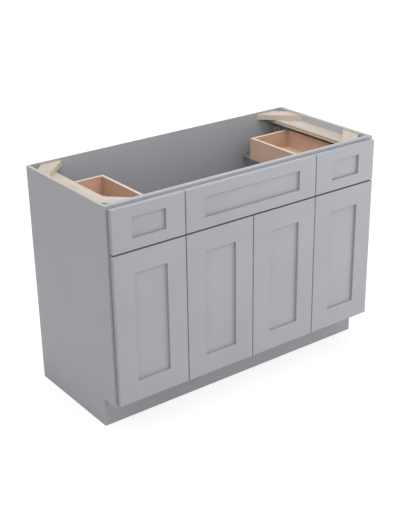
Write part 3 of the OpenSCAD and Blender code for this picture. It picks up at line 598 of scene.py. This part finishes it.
# Screws: zinc-plated, with a cross recess. The pan heads stand on the metal they hold, and the tapered
# heads lie flush in the clips and in the flanges of the hinge cups.
def turned(outline, turns, start, axis, sunk=None):
    """A turned shape: the outline's radius r and height h, carried round the axis, are the point start +
    r cos(t) u + r sin(t) v - h axis. `sunk` gives the depth at (x, y) that is pressed into it."""
    angle = np.linspace(0.0, 2 * math.pi, turns, endpoint=False)
    axis = np.asarray(axis, float)
    u = np.roll(axis, 1)
    v = np.cross(axis, u)
    r, h = np.asarray(outline, float).T
    x, y = np.outer(r, np.cos(angle)), np.outer(r, np.sin(angle))
    depth = np.broadcast_to(h[:, None], x.shape) + (0 if sunk is None else sunk(x, y, h[:, None]))
    points = start + x[..., None] * u + y[..., None] * v - depth[..., None] * axis
    row = np.arange(len(r) - 1)[:, None] * turns
    here, after = np.arange(turns), np.roll(np.arange(turns), -1)
    faces = np.stack([row + here, row + after, row + turns + after, row + turns + here], -1)
    return points.reshape(-1, 3), faces.reshape(-1, 4)


def gathered(name, shapes, finish, node):
    """One piece from several turned shapes, with their poles and seams closed. It shades smooth where
    its faces meet at less than 40 degrees."""
    points, faces, count = [], [], 0
    for shape_points, shape_faces in shapes:
        points.append(shape_points)
        faces.append(shape_faces + count)
        count += len(shape_points)
    mesh = bpy.data.meshes.new(name)
    mesh.from_pydata(np.concatenate(points).tolist(), [], np.concatenate(faces).tolist())
    close = bmesh.new()
    close.from_mesh(mesh)
    bmesh.ops.remove_doubles(close, verts=close.verts, dist=2e-6)
    bmesh.ops.recalc_face_normals(close, faces=close.faces)
    close.to_mesh(mesh)
    close.free()
    mesh.shade_smooth()
    mesh.set_sharp_from_angle(angle=math.radians(40.0))
    mesh.materials.append(finish.material)
    piece = bpy.data.objects.new(name, mesh)
    bpy.context.scene.collection.objects.link(piece)
    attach(piece, body_of(node))
    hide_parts(node)
    return piece


slot_half_width, slot_flank = 0.00062, 0.00022
slot_reach, slot_run_out = 0.0021, 0.0016
slot_depth, head_top_depth = 0.0013, 0.0009


def cross_recess(x, y, h):
    """Depth of a cross pressed into a head: two crossing slots about 1 mm wide and 4 mm long that get
    shallower towards their ends, on the top of the head only."""
    slot = np.clip((slot_half_width - np.minimum(abs(x), abs(y))) / slot_flank, 0, 1)
    reach = np.clip((slot_reach - np.hypot(x, y)) / slot_run_out, 0, 1)
    return slot_depth * slot * reach * (h < head_top_depth)


least_head_radius = 0.0025
pan_radius, pan_crown = 0.0035, 0.0009
shank_radius, taper_length = 0.00172, 0.0035
tip_radius, tip_length = 0.0008, 0.0008


def screw(places, pan):
    """One screw in the space of its CAD solid: its long axis is the solid's longest side, and its head
    is at the end where the corners lie further out."""
    low, high = places.min(0), places.max(0)
    axis = np.zeros(3)
    longest = int(np.argmax(high - low))
    axis[longest] = 1.0
    middle = (low + high) / 2
    out = np.linalg.norm((places - middle) * (1 - axis), axis=1)
    top = places[:, longest] > high[longest] - 1e-5
    if not top.any() or out[top].max() < least_head_radius:
        axis = -axis
    length = high[longest] - low[longest]
    start = middle + axis * length / 2
    ring = [0.0, 0.00025, 0.0005, 0.0008, 0.0011, 0.0014, 0.0017, 0.002, 0.0023]
    if pan:
        head = [(r, pan_crown * (r / pan_radius) ** 3) for r in ring]
        head += [(0.0028, 0.00046), (0.0032, 0.0008), (0.00345, 0.00125)]
        head += [(pan_radius, 0.0018), (0.00175, 0.0018)]
    else:
        head = [(r, 0.00005) for r in ring] + [(0.0028, 0.00005), (0.003, 0.00015), (0.00175, 0.0014)]
    shank = [(shank_radius, length - taper_length), (tip_radius, length - tip_length), (0.0, length)]
    return turned(head + shank, 32, start, axis, cross_recess)


screw_zinc = zinc_plate("screw_zinc")
for node, pan in (
    ("cabinet_screws", True), ("left_drawer_screws", True), ("right_drawer_screws", True),
    ("door_1_hinge_cups", False), ("door_2_hinge_cups", False),
    ("door_3_hinge_cups", False), ("door_4_hinge_cups", False),
):
    points, label = corners(frame["nodes"][node].data), solids(node)
    made = []
    for one in np.unique(label):
        places = points[label == one]
        size = np.ptp(places, axis=0)
        if pan or not no_screw(size):
            made.append(screw(places, np.sort(size)[1] > cup_screw_most))
    gathered(node + "_driven" if pan else node + "_screws", made, screw_zinc, node)


# Bumpers: small clear domes of soft rubber, moulded and stuck on the face frame where the fronts close
# against it, so that they shut quietly.
bumper_rubber = Finish("bumper_rubber", Transmission_Weight=0.55, IOR=1.46)
bumper_haze = bumper_rubber.cloud(bumper_rubber.place(), 500.0, 2.0)
bumper_dull = (0.80, 0.81, 0.80, 1.0)
bumper_clear = (0.9, 0.91, 0.91, 1.0)
bumper_rubber.set(Base_Color=bumper_rubber.blend(bumper_haze, bumper_dull, bumper_clear))
bumper_rubber.set(Roughness=0.22 + 0.12 * bumper_haze)
points, label = corners(frame["nodes"]["bumpers"].data), solids("bumpers")
domes = []
for one in np.unique(label):
    low, high = points[label == one].min(0), points[label == one].max(0)
    radius, height = (high[0] - low[0]) / 2, high[1] - low[1]
    turn = np.linspace(0.0, math.pi / 2, 7)
    dome = np.stack([radius * np.sin(turn), 0.8 * height * (1 - np.cos(turn))], -1).tolist()
    outline = dome + [(radius, height), (0.0, height)]
    middle = (low + high) / 2
    front_pole = np.array([middle[0], low[1], middle[2]])
    domes.append(turned(outline, 24, front_pole, np.array([0.0, -1.0, 0.0])))
gathered("bumpers_domed", domes, bumper_rubber, "bumpers")
